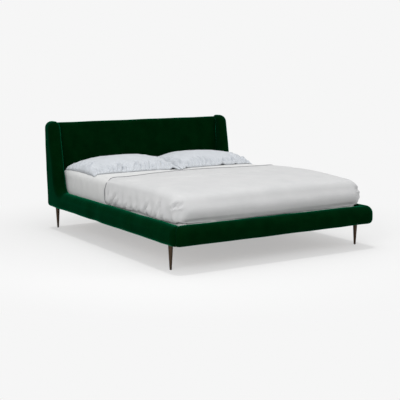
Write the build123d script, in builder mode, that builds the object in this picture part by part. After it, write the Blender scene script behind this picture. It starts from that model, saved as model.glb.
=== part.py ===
# Upholstered bed with a low wrap-around headboard, dressed with bedding. Millimetres.
# The origin lies on the floor under the middle of the bed, +Z is up, +Y points to the
# headboard and +X to the right as seen from the foot.
from build123d import *
import os

# Overall size
overall_width = 1820
overall_length = 2196
wing_height = 920
headboard_height = 907
back_rake = 26

# Padded rails and wings
rail_underside = 186
rail_height = 140
rail_thickness = 100
headboard_thickness = 66
wing_depth_top = 123
wing_depth_base = 213
wing_corner_radius = 68
wing_sweep_radius = 100
corner_radius = 70
outer_roll_radius = 62
inner_roll_radius = 34
under_roll_radius = 30
back_edge_radius = 12
headboard_front_radius = 30
seam_gap = 0.6

# Covering and padding
cover_thickness = 2
padding_gap = 0.3
cover_inner_edge = 272
lining_thickness = 1.5

# Timber frame
beam_width = 60
beam_height = 100
wing_board_thickness = 24
wing_board_inset = 38
wing_board_lap = 180
headboard_board_thickness = 30
headboard_foam_foot = 268
headboard_seam_gap = 0.6
headboard_board_top_gap = 26
lining_border = 34
head_rail_depth = 45
head_rail_height = 76
timber_gap = 0.3

# Slatted base
slat_count = 14
slat_width = 68
slat_thickness = 9
slat_crown = 8
slat_top = 284.5
slat_end_margin = 60
ledger_width = 25
ledger_height = 40
ledger_end_gap = 5
ledger_chamfer = 6
holder_wall = 2.5
holder_base = 4
holder_reach = 30
holder_slack = 0.3
holder_rise = 1.8
slat_end_gap = 6
centre_web = 3

# Middle support
centre_beam_width = 40
centre_beam_height = 60
tube_wall = 2
hanger_sheet = 3
hanger_lip = 25
hanger_seat = 40
centre_leg_diameter = 38
centre_leg_wall = 2
centre_plate_length = 90
centre_plate_width = 36
centre_plate_thickness = 4
foot_pad_diameter = 44
foot_pad_thickness = 10
foot_stem_diameter = 10
foot_stem_length = 42
foot_insert_height = 26
foot_thread_gap = 0.3
foot_travel = 12
foot_lift_gap = 1

# Corner legs
leg_side_inset = 67
leg_foot_inset = 167
leg_head_inset = 67
leg_top_diameter = 36
leg_tip_diameter = 16
leg_bore_depth = 14
glide_thickness = 4
glide_diameter = 14
glide_stem_diameter = 6
glide_stem_length = 9
glide_chamfer = 1.5
plate_width = 44
plate_length = 70
plate_thickness = 2.5
plate_corner_radius = 8
plate_window_gap = 3
plate_screw_spacing = 52
stud_diameter = 8
stud_reach = 26
fit_gap = 0.3

# Fasteners and corner brackets
bracket_leg = 50
bracket_sheet = 4
bracket_height = 60
bracket_low_gap = 6
bolt_diameter = 8
bolt_length = 40
bolt_head_width = 13
bolt_head_height = 5.3
bolt_spacing = 32
bolt_setback = 30
screw_diameter = 4.5
screw_length = 22
screw_head_diameter = 9
screw_head_height = 2.6
screw_head_taper = 25

# Mattress and bedding
mattress_side_gap = 10
mattress_end_gap = 3.75
mattress_thickness = 232
mattress_corner_radius = 60
mattress_top_edge_radius = 50
mattress_under_edge_radius = 26
rest_gap = 0.3
duvet_gap = 0.6
sheet_thickness = 1.2
sheet_wrap = 48
duvet_swell = 43
duvet_foot_swell = 36
duvet_top = 549
duvet_crown = 9
duvet_lean = 7
duvet_head_gap = 288
duvet_corner_radius = 105
duvet_top_radius = 52
duvet_under_radius = 30
duvet_edge_radius = 9
pillow_side_inset = 10
pillow_depth = 552
pillow_thickness = 124
pillow_edge = 16
pillow_lift = 12
pillow_bulge = 5
pillow_split = 8
pillow_back_gap = 14
pillow_case_thickness = 1.2
pillow_station_shares = (-1.0, -0.93, -0.72, -0.36, 0.0, 0.36, 0.72, 0.93, 1.0)
pillow_height_shares = (0.3, 0.56, 0.83, 0.97, 1.0, 0.97, 0.83, 0.56, 0.3)
pillow_depth_shares = (0.985, 0.975, 0.96, 0.975, 0.985, 0.975, 0.96, 0.975, 0.985)
pillow_crest_share = 0.06

# Places worked out from the sizes above
overrun = rail_thickness
shell = cover_thickness + padding_gap
side_x = overall_width / 2
inner_x = side_x - rail_thickness
foot_y = -overall_length / 2
back_top_y = overall_length / 2
back_foot_y = back_top_y - back_rake
rail_top = rail_underside + rail_height
foot_inner_y = foot_y + rail_thickness
beam_x = inner_x + shell
beam_bottom = rail_underside + shell
beam_top = beam_bottom + beam_height
foot_beam_y = foot_inner_y - shell


def back_y(z):
    """Place of the raked back at height z."""
    return back_foot_y + back_rake * (z - rail_underside) / (wing_height - rail_underside)


board_front_y = back_y(rail_underside) - shell - headboard_board_thickness
head_rail_y = board_front_y - timber_gap - head_rail_depth
headboard_front_y = back_y(slat_top) - headboard_thickness
mattress_y = (foot_inner_y + headboard_front_y) / 2
mattress_width = 2 * (inner_x - mattress_side_gap)
mattress_length = headboard_front_y - foot_inner_y - 2 * mattress_end_gap
mattress_bottom = slat_top + rest_gap
mattress_top = mattress_bottom + mattress_thickness
mattress_foot_y = mattress_y - mattress_length / 2
headboard_face_at_pillow = back_y(mattress_top) - headboard_thickness
pillow_width = mattress_width / 2 - pillow_side_inset - pillow_split / 2
pillow_back_y = headboard_face_at_pillow - pillow_back_gap
slat_pitch = (mattress_length - 2 * slat_end_margin - slat_width) / (slat_count - 1)
slat_end_bottom = slat_top - slat_crown - slat_thickness
ledger_top = slat_end_bottom - holder_base
leg_x = side_x - leg_side_inset
leg_places = {
    "foot_left": (-leg_x, foot_y + leg_foot_inset),
    "foot_right": (leg_x, foot_y + leg_foot_inset),
    "head_left": (-leg_x, back_foot_y - leg_head_inset),
    "head_right": (leg_x, back_foot_y - leg_head_inset),
}
plate_bottom = beam_bottom - plate_thickness
sides = {"left": -1, "right": 1}

os.makedirs("parts", exist_ok=True)


def save(part, name):
    """Label one sub-part and write it to its own file."""
    part.label = name
    export_step(part, f"parts/{name}.step")


def span_box(x0, x1, y0, y1, z0, z1):
    """Plain block between two corners, for cuts and for square timber."""
    with BuildPart() as block:
        with BuildSketch(Plane.XY.offset(z0)):
            with Locations(((x0 + x1) / 2, (y0 + y1) / 2)):
                Rectangle(abs(x1 - x0), abs(y1 - y0))
        extrude(amount=z1 - z0)
    return block.part


def side_outline(inset):
    """Outline of a side in the YZ plane: rail, swept wing front and raked back."""
    wing_top_front = back_top_y - wing_depth_top
    wing_base_front = back_y(rail_top) - wing_depth_base
    points = [
        (foot_y, rail_underside),
        (back_foot_y, rail_underside),
        (back_top_y, wing_height),
        (wing_top_front, wing_height),
        (wing_base_front, rail_top),
        (foot_y, rail_top),
    ]
    with BuildSketch(Plane.YZ) as outline:
        with BuildLine():
            Polyline(*points, close=True)
        make_face()
        if inset:
            offset(amount=-inset, kind=Kind.INTERSECTION)
        sweep_corner = outline.vertices().sort_by_distance((wing_base_front, rail_top))[0]
        fillet(sweep_corner, wing_sweep_radius + inset)
        top_corner = outline.vertices().sort_by_distance((wing_top_front, wing_height))[0]
        fillet(top_corner, wing_corner_radius - inset)
    return outline.sketch


def padded_surround(inset):
    """Both sides and the foot rail in one skin, drawn in by inset all over."""
    outline = side_outline(inset)
    wall = rail_thickness - 2 * inset
    with BuildPart() as surround:
        for side in sides.values():
            add(outline.moved(Location((side * (side_x - rail_thickness / 2), 0, 0))))
        extrude(amount=wall / 2, both=True, dir=(1, 0, 0))
        with BuildSketch(Plane.XY.offset(rail_underside + inset)):
            with Locations((0, foot_y + rail_thickness / 2)):
                Rectangle(overall_width - 2 * inset, wall)
        extrude(amount=rail_height - 2 * inset)
        corners = surround.edges().filter_by(Axis.Z).group_by(Axis.Y)[0]
        fillet(corners, corner_radius - inset)
        above = rail_top - inset - seam_gap
        roll = surround.edges().filter_by(
            lambda edge: edge.center().Z > above and edge.center().Y < foot_y + corner_radius / 2
        )
        for face in surround.faces().filter_by(Axis.X):
            if abs(face.center().X) > side_x - rail_thickness / 2:
                roll += [edge for edge in face.edges().sort_by(Axis.Y)[:-1] if edge.center().Z > above]
        fillet(roll, outer_roll_radius - inset)
        under = surround.edges().group_by(Axis.Z)[0].filter_by(
            lambda edge: abs(edge.center().X) > side_x - rail_thickness / 2
            or edge.center().Y < foot_y + rail_thickness / 2
        )
        fillet(under, under_roll_radius - inset)
    return surround.part


def mitre_plane(side):
    """Upright plane through the outer and the inner corner at the foot, facing the side rail."""
    return Plane(origin=(side * inner_x, foot_inner_y, 0), x_dir=(-side, 1, 0), z_dir=(side, 1, 0))


def side_half(form, side, inset, shift=0):
    """The rail and wing of one side of a surround, cut off square to the foot mitre."""
    with BuildPart() as half:
        add(form)
        split(bisect_by=Plane.YZ, keep=Keep.TOP if side > 0 else Keep.BOTTOM)
        split(bisect_by=mitre_plane(side).offset(seam_gap / 2 - shift), keep=Keep.TOP)
        inner_face = half.faces().filter_by(Axis.X).sort_by(lambda face: abs(face.center().X))[0]
        border = inner_face.edges().sort_by(Axis.Y)[1:-1].sort_by(Axis.Z)[1:]
        fillet(border, inner_roll_radius - inset)
        back_face = half.faces().sort_by(Axis.Y)[-1]
        outer_back = back_face.edges().sort_by(lambda edge: abs(edge.center().X))[-1]
        fillet(outer_back, back_edge_radius - inset)
    return half.part


def foot_half(form, inset, shift=0):
    """The foot rail of a surround, between its two mitres."""
    with BuildPart() as rail:
        add(form)
        for side in sides.values():
            split(bisect_by=mitre_plane(side).offset(shift - seam_gap / 2), keep=Keep.BOTTOM)
        inner_top = rail.edges().filter_by(Axis.X).group_by(Axis.Y)[-1].sort_by(Axis.Z)[-1]
        fillet(inner_top, inner_roll_radius - inset)
    return rail.part


# The surround's outer skin, the covering's inner face and the face of the padding under it
surround_outside = padded_surround(0)
surround_lining = padded_surround(cover_thickness)
surround_padding = padded_surround(shell)

# Where the bolts of the corner brackets enter the timber: place and outward direction
bracket_middle = beam_bottom + bracket_low_gap + bracket_height / 2
bracket_levels = (bracket_middle - bolt_spacing / 2, bracket_middle + bolt_spacing / 2)
bracket_corners = []
for side in sides.values():
    bracket_corners.append((side, foot_beam_y, 1))
    bracket_corners.append((side, head_rail_y, -1))
side_bolts = {side: [] for side in sides.values()}
foot_bolts = []
head_bolts = []
for side, corner_y, inward in bracket_corners:
    for level in bracket_levels:
        on_side = Plane(
            origin=(side * (beam_x - bracket_sheet), corner_y + inward * bolt_setback, level),
            x_dir=(0, 1, 0),
            z_dir=(-side, 0, 0),
        )
        on_cross = Plane(
            origin=(side * (beam_x - bolt_setback), corner_y + inward * bracket_sheet, level),
            x_dir=(1, 0, 0),
            z_dir=(0, inward, 0),
        )
        side_bolts[side].append(on_side)
        (foot_bolts if inward > 0 else head_bolts).append(on_cross)
screw_planes = {side: [] for side in sides.values()}
stud_planes = {side: [] for side in sides.values()}
for leg_place_x, leg_place_y in leg_places.values():
    side = 1 if leg_place_x > 0 else -1
    stud_planes[side].append(Plane(origin=(leg_place_x, leg_place_y, plate_bottom)))
    for end in (-1, 1):
        hole_y = leg_place_y + end * plate_screw_spacing / 2
        screw_planes[side].append(Plane(origin=(leg_place_x, hole_y, plate_bottom), z_dir=(0, 0, -1)))


# Timber rails inside the padding, mitred at the foot and half lapped to the wing boards
lap_y = back_foot_y - wing_board_inset - wing_board_lap
beam_back_y = back_foot_y - wing_board_inset
lap_x = beam_x + beam_width - wing_board_thickness
side_beams = {}
for name, side in sides.items():
    with BuildPart() as side_beam:
        add(span_box(side * beam_x, side * (beam_x + beam_width), foot_y, beam_back_y, beam_bottom, beam_top))
        split(bisect_by=mitre_plane(side).offset(seam_gap / 2), keep=Keep.TOP)
        add(surround_padding, mode=Mode.INTERSECT)
        lap = span_box(
            side * lap_x,
            side * (side_x + overrun),
            lap_y,
            beam_back_y + overrun,
            beam_bottom - overrun,
            beam_top + overrun,
        )
        add(lap, mode=Mode.SUBTRACT)
        for plane in side_bolts[side]:
            with BuildSketch(plane.offset(-bolt_length - fit_gap)):
                Circle(bolt_diameter / 2 + fit_gap)
            extrude(amount=bolt_length + fit_gap, mode=Mode.SUBTRACT)
        for plane in screw_planes[side]:
            with BuildSketch(plane.offset(-screw_length - fit_gap)):
                Circle(screw_diameter / 2 + fit_gap)
            extrude(amount=screw_length + fit_gap, mode=Mode.SUBTRACT)
        for plane in stud_planes[side]:
            with BuildSketch(plane):
                Circle(stud_diameter / 2 + fit_gap)
            extrude(amount=plate_thickness + stud_reach + fit_gap, mode=Mode.SUBTRACT)
    side_beams[side] = side_beam.part
    save(side_beam.part, f"side_beam_{name}")

# Wing boards, standing in the laps of the side rails
wing_boards = {}
for name, side in sides.items():
    with BuildPart() as wing_board:
        board_middle = Location((side * (lap_x + wing_board_thickness / 2), 0, 0))
        add(side_outline(wing_board_inset).moved(board_middle))
        extrude(amount=wing_board_thickness / 2, both=True, dir=(1, 0, 0))
        rail_part = span_box(-side_x, side_x, foot_y, lap_y, rail_underside, wing_height)
        add(rail_part, mode=Mode.SUBTRACT)
        board_x = side * (lap_x + wing_board_thickness)
        add(span_box(side * lap_x, board_x, lap_y, beam_back_y, beam_bottom, beam_top))
    wing_boards[side] = wing_board.part
    save(wing_board.part, f"wing_board_{name}")

# Foot rail timber, mitred against the two side rails
with BuildPart() as foot_beam:
    add(span_box(-side_x, side_x, foot_beam_y - beam_width, foot_beam_y, beam_bottom, beam_top))
    for side in sides.values():
        split(bisect_by=mitre_plane(side).offset(-seam_gap / 2), keep=Keep.BOTTOM)
    add(surround_padding, mode=Mode.INTERSECT)
    for plane in foot_bolts:
        with BuildSketch(plane.offset(-bolt_length - fit_gap)):
            Circle(bolt_diameter / 2 + fit_gap)
        extrude(amount=bolt_length + fit_gap, mode=Mode.SUBTRACT)
save(foot_beam.part, "foot_beam")

# Cross rail at the head, between the side rails and in front of the headboard
with BuildPart() as head_rail:
    rail_half = beam_x - timber_gap
    rail_back_y = head_rail_y + head_rail_depth
    rail_high = beam_bottom + head_rail_height
    add(span_box(-rail_half, rail_half, head_rail_y, rail_back_y, beam_bottom, rail_high))
    for plane in head_bolts:
        with BuildSketch(plane.offset(-bolt_length - fit_gap)):
            Circle(bolt_diameter / 2 + fit_gap)
        extrude(amount=bolt_length + fit_gap, mode=Mode.SUBTRACT)
save(head_rail.part, "head_rail")

# Padding and covering of the sides
for name, side in sides.items():
    with BuildPart() as side_padding:
        add(side_half(surround_padding, side, shell))
        beam_room = span_box(
            side * (inner_x - overrun),
            side * (beam_x + beam_width),
            foot_y,
            beam_back_y,
            beam_bottom - overrun,
            beam_top,
        )
        add(beam_room, mode=Mode.SUBTRACT)
        add(wing_boards[side], mode=Mode.SUBTRACT)
    save(side_padding.part, f"side_padding_{name}")

    with BuildPart() as side_cover:
        add(side_half(surround_outside, side, 0))
        add(side_half(surround_lining, side, cover_thickness, seam_gap), mode=Mode.SUBTRACT)
        inner_window = span_box(
            side * (inner_x - overrun),
            side * (beam_x + padding_gap),
            foot_y - overrun,
            back_top_y + overrun,
            beam_bottom - padding_gap,
            cover_inner_edge,
        )
        add(inner_window, mode=Mode.SUBTRACT)
        for leg_place_x, leg_place_y in leg_places.values():
            if leg_place_x * side > 0:
                half_width = plate_width / 2 + plate_window_gap
                half_length = plate_length / 2 + plate_window_gap
                window = span_box(
                    leg_place_x - half_width,
                    leg_place_x + half_width,
                    leg_place_y - half_length,
                    leg_place_y + half_length,
                    rail_underside - overrun,
                    beam_bottom,
                )
                add(window, mode=Mode.SUBTRACT)
    save(side_cover.part, f"side_cover_{name}")

# Padding and covering of the foot rail
with BuildPart() as foot_padding:
    add(foot_half(surround_padding, shell))
    beam_room = span_box(
        -side_x - overrun,
        side_x + overrun,
        foot_beam_y - beam_width,
        foot_inner_y + overrun,
        beam_bottom - overrun,
        beam_top,
    )
    add(beam_room, mode=Mode.SUBTRACT)
save(foot_padding.part, "foot_padding")
with BuildPart() as foot_cover:
    add(foot_half(surround_outside, 0))
    add(foot_half(surround_lining, cover_thickness, seam_gap), mode=Mode.SUBTRACT)
    inner_window = span_box(
        -side_x - overrun,
        side_x + overrun,
        foot_beam_y - padding_gap,
        foot_inner_y + overrun,
        beam_bottom - padding_gap,
        cover_inner_edge,
    )
    add(inner_window, mode=Mode.SUBTRACT)
save(foot_cover.part, "foot_cover")


def headboard_form(inset):
    """The raked panel between the wings, its surface drawn in by inset."""
    half_width = inner_x - headboard_seam_gap - inset
    bottom = rail_underside + inset
    top = headboard_height - inset
    with BuildPart() as panel:
        with BuildSketch(Plane.YZ):
            with BuildLine():
                Polyline(
                    (back_y(bottom) - headboard_thickness + inset, bottom),
                    (back_y(bottom) - inset, bottom),
                    (back_y(top) - inset, top),
                    (back_y(top) - headboard_thickness + inset, top),
                    close=True,
                )
            make_face()
        extrude(amount=half_width, both=True)
        top_edges = panel.edges().filter_by(Axis.X).group_by(Axis.Z)[-1].sort_by(Axis.Y)
        fillet(top_edges[0], headboard_front_radius - inset)
        back_top = panel.edges().filter_by(Axis.X).sort_by(Axis.Y)[-1]
        fillet(back_top, back_edge_radius - inset)
    return panel.part


# Headboard: board, padding over its front and top, covering and back lining
board_half = inner_x - headboard_seam_gap - shell
with BuildPart() as headboard_board:
    board_low = rail_underside + shell
    board_high = headboard_height - headboard_board_top_gap
    with BuildSketch(Plane.YZ):
        with BuildLine():
            Polyline(
                (back_y(board_low) - shell - headboard_board_thickness, board_low),
                (back_y(board_low) - shell, board_low),
                (back_y(board_high) - shell, board_high),
                (back_y(board_high) - shell - headboard_board_thickness, board_high),
                close=True,
            )
        make_face()
    extrude(amount=board_half, both=True)
save(headboard_board.part, "headboard_board")
with BuildPart() as headboard_padding:
    add(headboard_form(shell))
    add(headboard_board.part, mode=Mode.SUBTRACT)
    low_front = span_box(
        -side_x, side_x, foot_y, back_top_y + overrun, rail_underside - overrun, headboard_foam_foot
    )
    add(low_front, mode=Mode.SUBTRACT)
save(headboard_padding.part, "headboard_padding")
with BuildPart() as headboard_cover:
    add(headboard_form(0))
    add(headboard_form(cover_thickness), mode=Mode.SUBTRACT)
    low_front = span_box(
        -side_x,
        side_x,
        foot_y,
        board_front_y,
        rail_underside - overrun,
        headboard_foam_foot,
    )
    add(low_front, mode=Mode.SUBTRACT)
    lining_half = board_half - lining_border
    lining_low = rail_underside + lining_border
    lining_high = headboard_height - lining_border
    back_window = span_box(
        -lining_half,
        lining_half,
        back_foot_y - shell,
        back_top_y + overrun,
        lining_low,
        lining_high,
    )
    add(back_window, mode=Mode.SUBTRACT)
save(headboard_cover.part, "headboard_cover")
with BuildPart() as headboard_lining:
    with BuildSketch(Plane.YZ):
        with BuildLine():
            low = lining_low + padding_gap
            high = lining_high - padding_gap
            Polyline(
                (back_y(low) - shell, low),
                (back_y(low) - shell + lining_thickness, low),
                (back_y(high) - shell + lining_thickness, high),
                (back_y(high) - shell, high),
                close=True,
            )
        make_face()
    extrude(amount=lining_half - padding_gap, both=True)
save(headboard_lining.part, "headboard_lining")

# Steel angles that hold the four corners together, and their bolts
with BuildPart() as corner_brackets:
    for side, corner_y, inward in bracket_corners:
        with BuildSketch(Plane.XY.offset(beam_bottom + bracket_low_gap)):
            with BuildLine():
                Polyline(
                    (side * beam_x, corner_y),
                    (side * (beam_x - bracket_leg), corner_y),
                    (side * (beam_x - bracket_leg), corner_y + inward * bracket_sheet),
                    (side * (beam_x - bracket_sheet), corner_y + inward * bracket_sheet),
                    (side * (beam_x - bracket_sheet), corner_y + inward * bracket_leg),
                    (side * beam_x, corner_y + inward * bracket_leg),
                    close=True,
                )
            make_face()
        extrude(amount=bracket_height)
    for plane in side_bolts[-1] + side_bolts[1] + foot_bolts + head_bolts:
        with BuildSketch(plane):
            Circle(bolt_diameter / 2 + fit_gap)
        extrude(amount=-bracket_sheet, mode=Mode.SUBTRACT)
save(corner_brackets.part, "corner_brackets")
with BuildPart() as bracket_bolts:
    for plane in side_bolts[-1] + side_bolts[1] + foot_bolts + head_bolts:
        with BuildSketch(plane):
            RegularPolygon(bolt_head_width / 2, 6, major_radius=False)
        extrude(amount=bolt_head_height)
        with BuildSketch(plane):
            Circle(bolt_diameter / 2)
        extrude(amount=-bolt_length)
save(bracket_bolts.part, "bracket_bolts")

# Corner legs: turned taper, threaded stud, mounting plate, screws and glide
with BuildPart() as leg_plates:
    for place in leg_places.values():
        with BuildSketch(Plane.XY.offset(plate_bottom)):
            with Locations(place):
                RectangleRounded(plate_width, plate_length, plate_corner_radius)
                Circle(stud_diameter / 2 + fit_gap / 2, mode=Mode.SUBTRACT)
                with GridLocations(plate_width, plate_screw_spacing, 1, 2):
                    Circle(screw_diameter / 2 + fit_gap, mode=Mode.SUBTRACT)
        extrude(amount=plate_thickness)
save(leg_plates.part, "leg_plates")
with BuildPart() as leg_plate_screws:
    for plane in screw_planes[-1] + screw_planes[1]:
        with BuildSketch(plane):
            Circle(screw_diameter / 2)
        extrude(amount=-screw_length)
        with BuildSketch(plane):
            Circle(screw_head_diameter / 2)
        extrude(amount=screw_head_height, taper=screw_head_taper)
save(leg_plate_screws.part, "leg_plate_screws")
with BuildPart() as leg_studs:
    for place in leg_places.values():
        with BuildSketch(Plane.XY.offset(plate_bottom - leg_bore_depth)):
            with Locations(place):
                Circle(stud_diameter / 2)
        extrude(amount=leg_bore_depth + plate_thickness + stud_reach)
save(leg_studs.part, "leg_studs")
for name, place in leg_places.items():
    with BuildPart() as leg:
        with BuildSketch(Plane.XY.offset(glide_thickness)):
            with Locations(place):
                Circle(leg_tip_diameter / 2)
        with BuildSketch(Plane.XY.offset(plate_bottom)):
            with Locations(place):
                Circle(leg_top_diameter / 2)
        loft()
        with BuildSketch(Plane.XY.offset(plate_bottom - leg_bore_depth)):
            with Locations(place):
                Circle(stud_diameter / 2 + fit_gap / 2)
        extrude(amount=leg_bore_depth + overrun, mode=Mode.SUBTRACT)
        with BuildSketch(Plane.XY.offset(-overrun)):
            with Locations(place):
                Circle(glide_stem_diameter / 2 + fit_gap / 2)
        extrude(amount=overrun + glide_thickness + glide_stem_length, mode=Mode.SUBTRACT)
    save(leg.part, f"leg_{name}")
    with BuildPart() as glide:
        with BuildSketch(Plane.XY):
            with Locations(place):
                Circle(glide_diameter / 2)
        extrude(amount=glide_thickness)
        chamfer(glide.edges().group_by(Axis.Z)[0], glide_chamfer)
        with BuildSketch(Plane.XY.offset(glide_thickness)):
            with Locations(place):
                Circle(glide_stem_diameter / 2)
        extrude(amount=glide_stem_length)
    save(glide.part, f"leg_glide_{name}")

# Ledgers along the side rails
ledger_foot_y = foot_beam_y + bracket_leg + ledger_end_gap
ledger_head_y = head_rail_y - bracket_leg - ledger_end_gap
for name, side in sides.items():
    with BuildPart() as ledger:
        add(
            span_box(
                side * (beam_x - ledger_width),
                side * beam_x,
                ledger_foot_y,
                ledger_head_y,
                ledger_top - ledger_height,
                ledger_top,
            )
        )
        foot_of_ledger = ledger.edges().filter_by(Axis.Y).group_by(Axis.Z)[0]
        chamfer(foot_of_ledger.sort_by(lambda edge: abs(edge.center().X))[0], ledger_chamfer)
    save(ledger.part, f"ledger_{name}")

# Sprung slats and the caps that hold their ends
slat_places = [mattress_foot_y + slat_end_margin + slat_width / 2 + i * slat_pitch for i in range(slat_count)]
slat_outer_x = beam_x - slat_end_gap
slat_inner_x = centre_web / 2 + slat_end_gap / 2
slat_middle_x = (slat_outer_x + slat_inner_x) / 2
holder_width = slat_width + 2 * (holder_slack + holder_wall)
slot_low = slat_end_bottom - holder_slack
slot_high = slat_end_bottom + slat_thickness + holder_rise
holder_top = slot_high + holder_wall
for name, side in sides.items():
    with BuildPart() as slats:
        for slat_y in slat_places:
            with BuildSketch(Plane.XZ.offset(-slat_y)):
                with BuildLine():
                    ends = (side * slat_inner_x, side * slat_outer_x)
                    end_top = slat_top - slat_crown
                    ThreePointArc((ends[0], end_top), (side * slat_middle_x, slat_top), (ends[1], end_top))
                    Line((ends[1], end_top), (ends[1], slat_end_bottom))
                    ThreePointArc(
                        (ends[1], slat_end_bottom),
                        (side * slat_middle_x, slat_top - slat_thickness),
                        (ends[0], slat_end_bottom),
                    )
                    Line((ends[0], slat_end_bottom), (ends[0], end_top))
                make_face()
            extrude(amount=slat_width / 2, both=True)
    save(slats.part, f"slats_{name}")
    with BuildPart() as slat_caps:
        for slat_y in slat_places:
            with BuildSketch(Plane.YZ.offset(side * (beam_x - holder_reach))):
                with Locations((slat_y, (ledger_top + holder_top) / 2)):
                    Rectangle(holder_width, holder_top - ledger_top)
                with Locations((slat_y, (slot_low + slot_high) / 2)):
                    Rectangle(slat_width + 2 * holder_slack, slot_high - slot_low, mode=Mode.SUBTRACT)
            extrude(amount=side * (holder_reach - slat_end_gap + holder_slack))
            with BuildSketch(Plane.YZ.offset(side * (slat_outer_x + holder_slack))):
                with Locations((slat_y, (ledger_top + holder_top) / 2)):
                    Rectangle(holder_width, holder_top - ledger_top)
            extrude(amount=side * holder_wall)
    save(slat_caps.part, f"slat_caps_{name}")
with BuildPart() as centre_caps:
    for slat_y in slat_places:
        for side in sides.values():
            with BuildSketch(Plane.YZ):
                with Locations((slat_y, (ledger_top + holder_top) / 2)):
                    Rectangle(holder_width, holder_top - ledger_top)
                with Locations((slat_y, (slot_low + slot_high) / 2)):
                    Rectangle(slat_width + 2 * holder_slack, slot_high - slot_low, mode=Mode.SUBTRACT)
            extrude(amount=side * holder_reach)
        with BuildSketch(Plane.YZ):
            with Locations((slat_y, (ledger_top + holder_top) / 2)):
                Rectangle(holder_width, holder_top - ledger_top)
        extrude(amount=centre_web / 2, both=True)
save(centre_caps.part, "slat_caps_centre")

# Middle beam of steel tube, hung between the foot rail and the head rail
beam_end_gap = hanger_sheet + fit_gap
centre_beam_top = ledger_top
centre_beam_bottom = centre_beam_top - centre_beam_height
with BuildPart() as centre_beam:
    with BuildSketch(Plane.XZ.offset(-(foot_beam_y + beam_end_gap))):
        with Locations((0, (centre_beam_top + centre_beam_bottom) / 2)):
            RectangleRounded(centre_beam_width, centre_beam_height, 2 * tube_wall)
            RectangleRounded(
                centre_beam_width - 2 * tube_wall,
                centre_beam_height - 2 * tube_wall,
                tube_wall,
                mode=Mode.SUBTRACT,
            )
    extrude(amount=-(head_rail_y - foot_beam_y - 2 * beam_end_gap))
save(centre_beam.part, "centre_beam")
with BuildPart() as beam_hangers:
    for face_y, inward in ((foot_beam_y, 1), (head_rail_y, -1)):
        cheek = centre_beam_width / 2 + fit_gap
        seat_low = centre_beam_bottom - hanger_sheet
        for x0, x1, z0, z1, depth in (
            (-cheek - hanger_lip, cheek + hanger_lip, seat_low, centre_beam_top, hanger_sheet),
            (-cheek - hanger_sheet, cheek + hanger_sheet, seat_low, centre_beam_bottom, hanger_seat),
            (-cheek - hanger_sheet, -cheek, seat_low, centre_beam_top, hanger_seat),
            (cheek, cheek + hanger_sheet, seat_low, centre_beam_top, hanger_seat),
        ):
            y0, y1 = sorted((face_y, face_y + inward * depth))
            add(span_box(x0, x1, y0, y1, z0, z1))
save(beam_hangers.part, "beam_hangers")

# Middle leg with a screwed-in levelling foot
centre_leg_low = foot_pad_thickness + foot_travel + foot_lift_gap
centre_plate_low = centre_beam_bottom - centre_plate_thickness
with BuildPart() as centre_leg:
    with BuildSketch(Plane.XY.offset(centre_plate_low)):
        RectangleRounded(centre_plate_width, centre_plate_length, plate_corner_radius)
    extrude(amount=centre_plate_thickness)
    with BuildSketch(Plane.XY.offset(centre_leg_low)):
        Circle(centre_leg_diameter / 2)
        Circle(centre_leg_diameter / 2 - centre_leg_wall, mode=Mode.SUBTRACT)
    extrude(amount=centre_plate_low - centre_leg_low)
save(centre_leg.part, "centre_leg")
with BuildPart() as centre_leg_insert:
    with BuildSketch(Plane.XY.offset(centre_leg_low)):
        Circle(centre_leg_diameter / 2 - centre_leg_wall)
        Circle(foot_stem_diameter / 2 + foot_thread_gap, mode=Mode.SUBTRACT)
    extrude(amount=foot_insert_height)
save(centre_leg_insert.part, "centre_leg_insert")
with BuildPart() as levelling_foot:
    with BuildSketch(Plane.XY):
        Circle(foot_pad_diameter / 2)
    extrude(amount=foot_pad_thickness)
    chamfer(levelling_foot.edges().group_by(Axis.Z)[-1], glide_chamfer)
    with BuildSketch(Plane.XY.offset(foot_pad_thickness)):
        Circle(foot_stem_diameter / 2)
    extrude(amount=foot_stem_length)
save(levelling_foot.part, "levelling_foot")


def mattress_form(outset):
    """Rounded block of the mattress, grown by outset all over."""
    with BuildPart() as block:
        with BuildSketch(Plane.XY.offset(mattress_bottom - outset)):
            with Locations((0, mattress_y)):
                RectangleRounded(
                    mattress_width + 2 * outset,
                    mattress_length + 2 * outset,
                    mattress_corner_radius + outset,
                )
        extrude(amount=mattress_thickness + 2 * outset)
        fillet(block.edges().group_by(Axis.Z)[0], mattress_under_edge_radius + outset)
        fillet(block.edges().group_by(Axis.Z)[-1], mattress_top_edge_radius + outset)
    return block.part


# Mattress and fitted sheet
save(mattress_form(0), "mattress")
sheet_outset = rest_gap + sheet_thickness
with BuildPart() as fitted_sheet:
    add(mattress_form(sheet_outset))
    add(mattress_form(rest_gap), mode=Mode.SUBTRACT)
    open_half = mattress_width / 2 - sheet_wrap
    under_opening = span_box(
        -open_half,
        open_half,
        mattress_foot_y + sheet_wrap,
        mattress_foot_y + mattress_length - sheet_wrap,
        rail_underside,
        mattress_bottom + rest_gap,
    )
    add(under_opening, mode=Mode.SUBTRACT)
save(fitted_sheet.part, "fitted_sheet")

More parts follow.
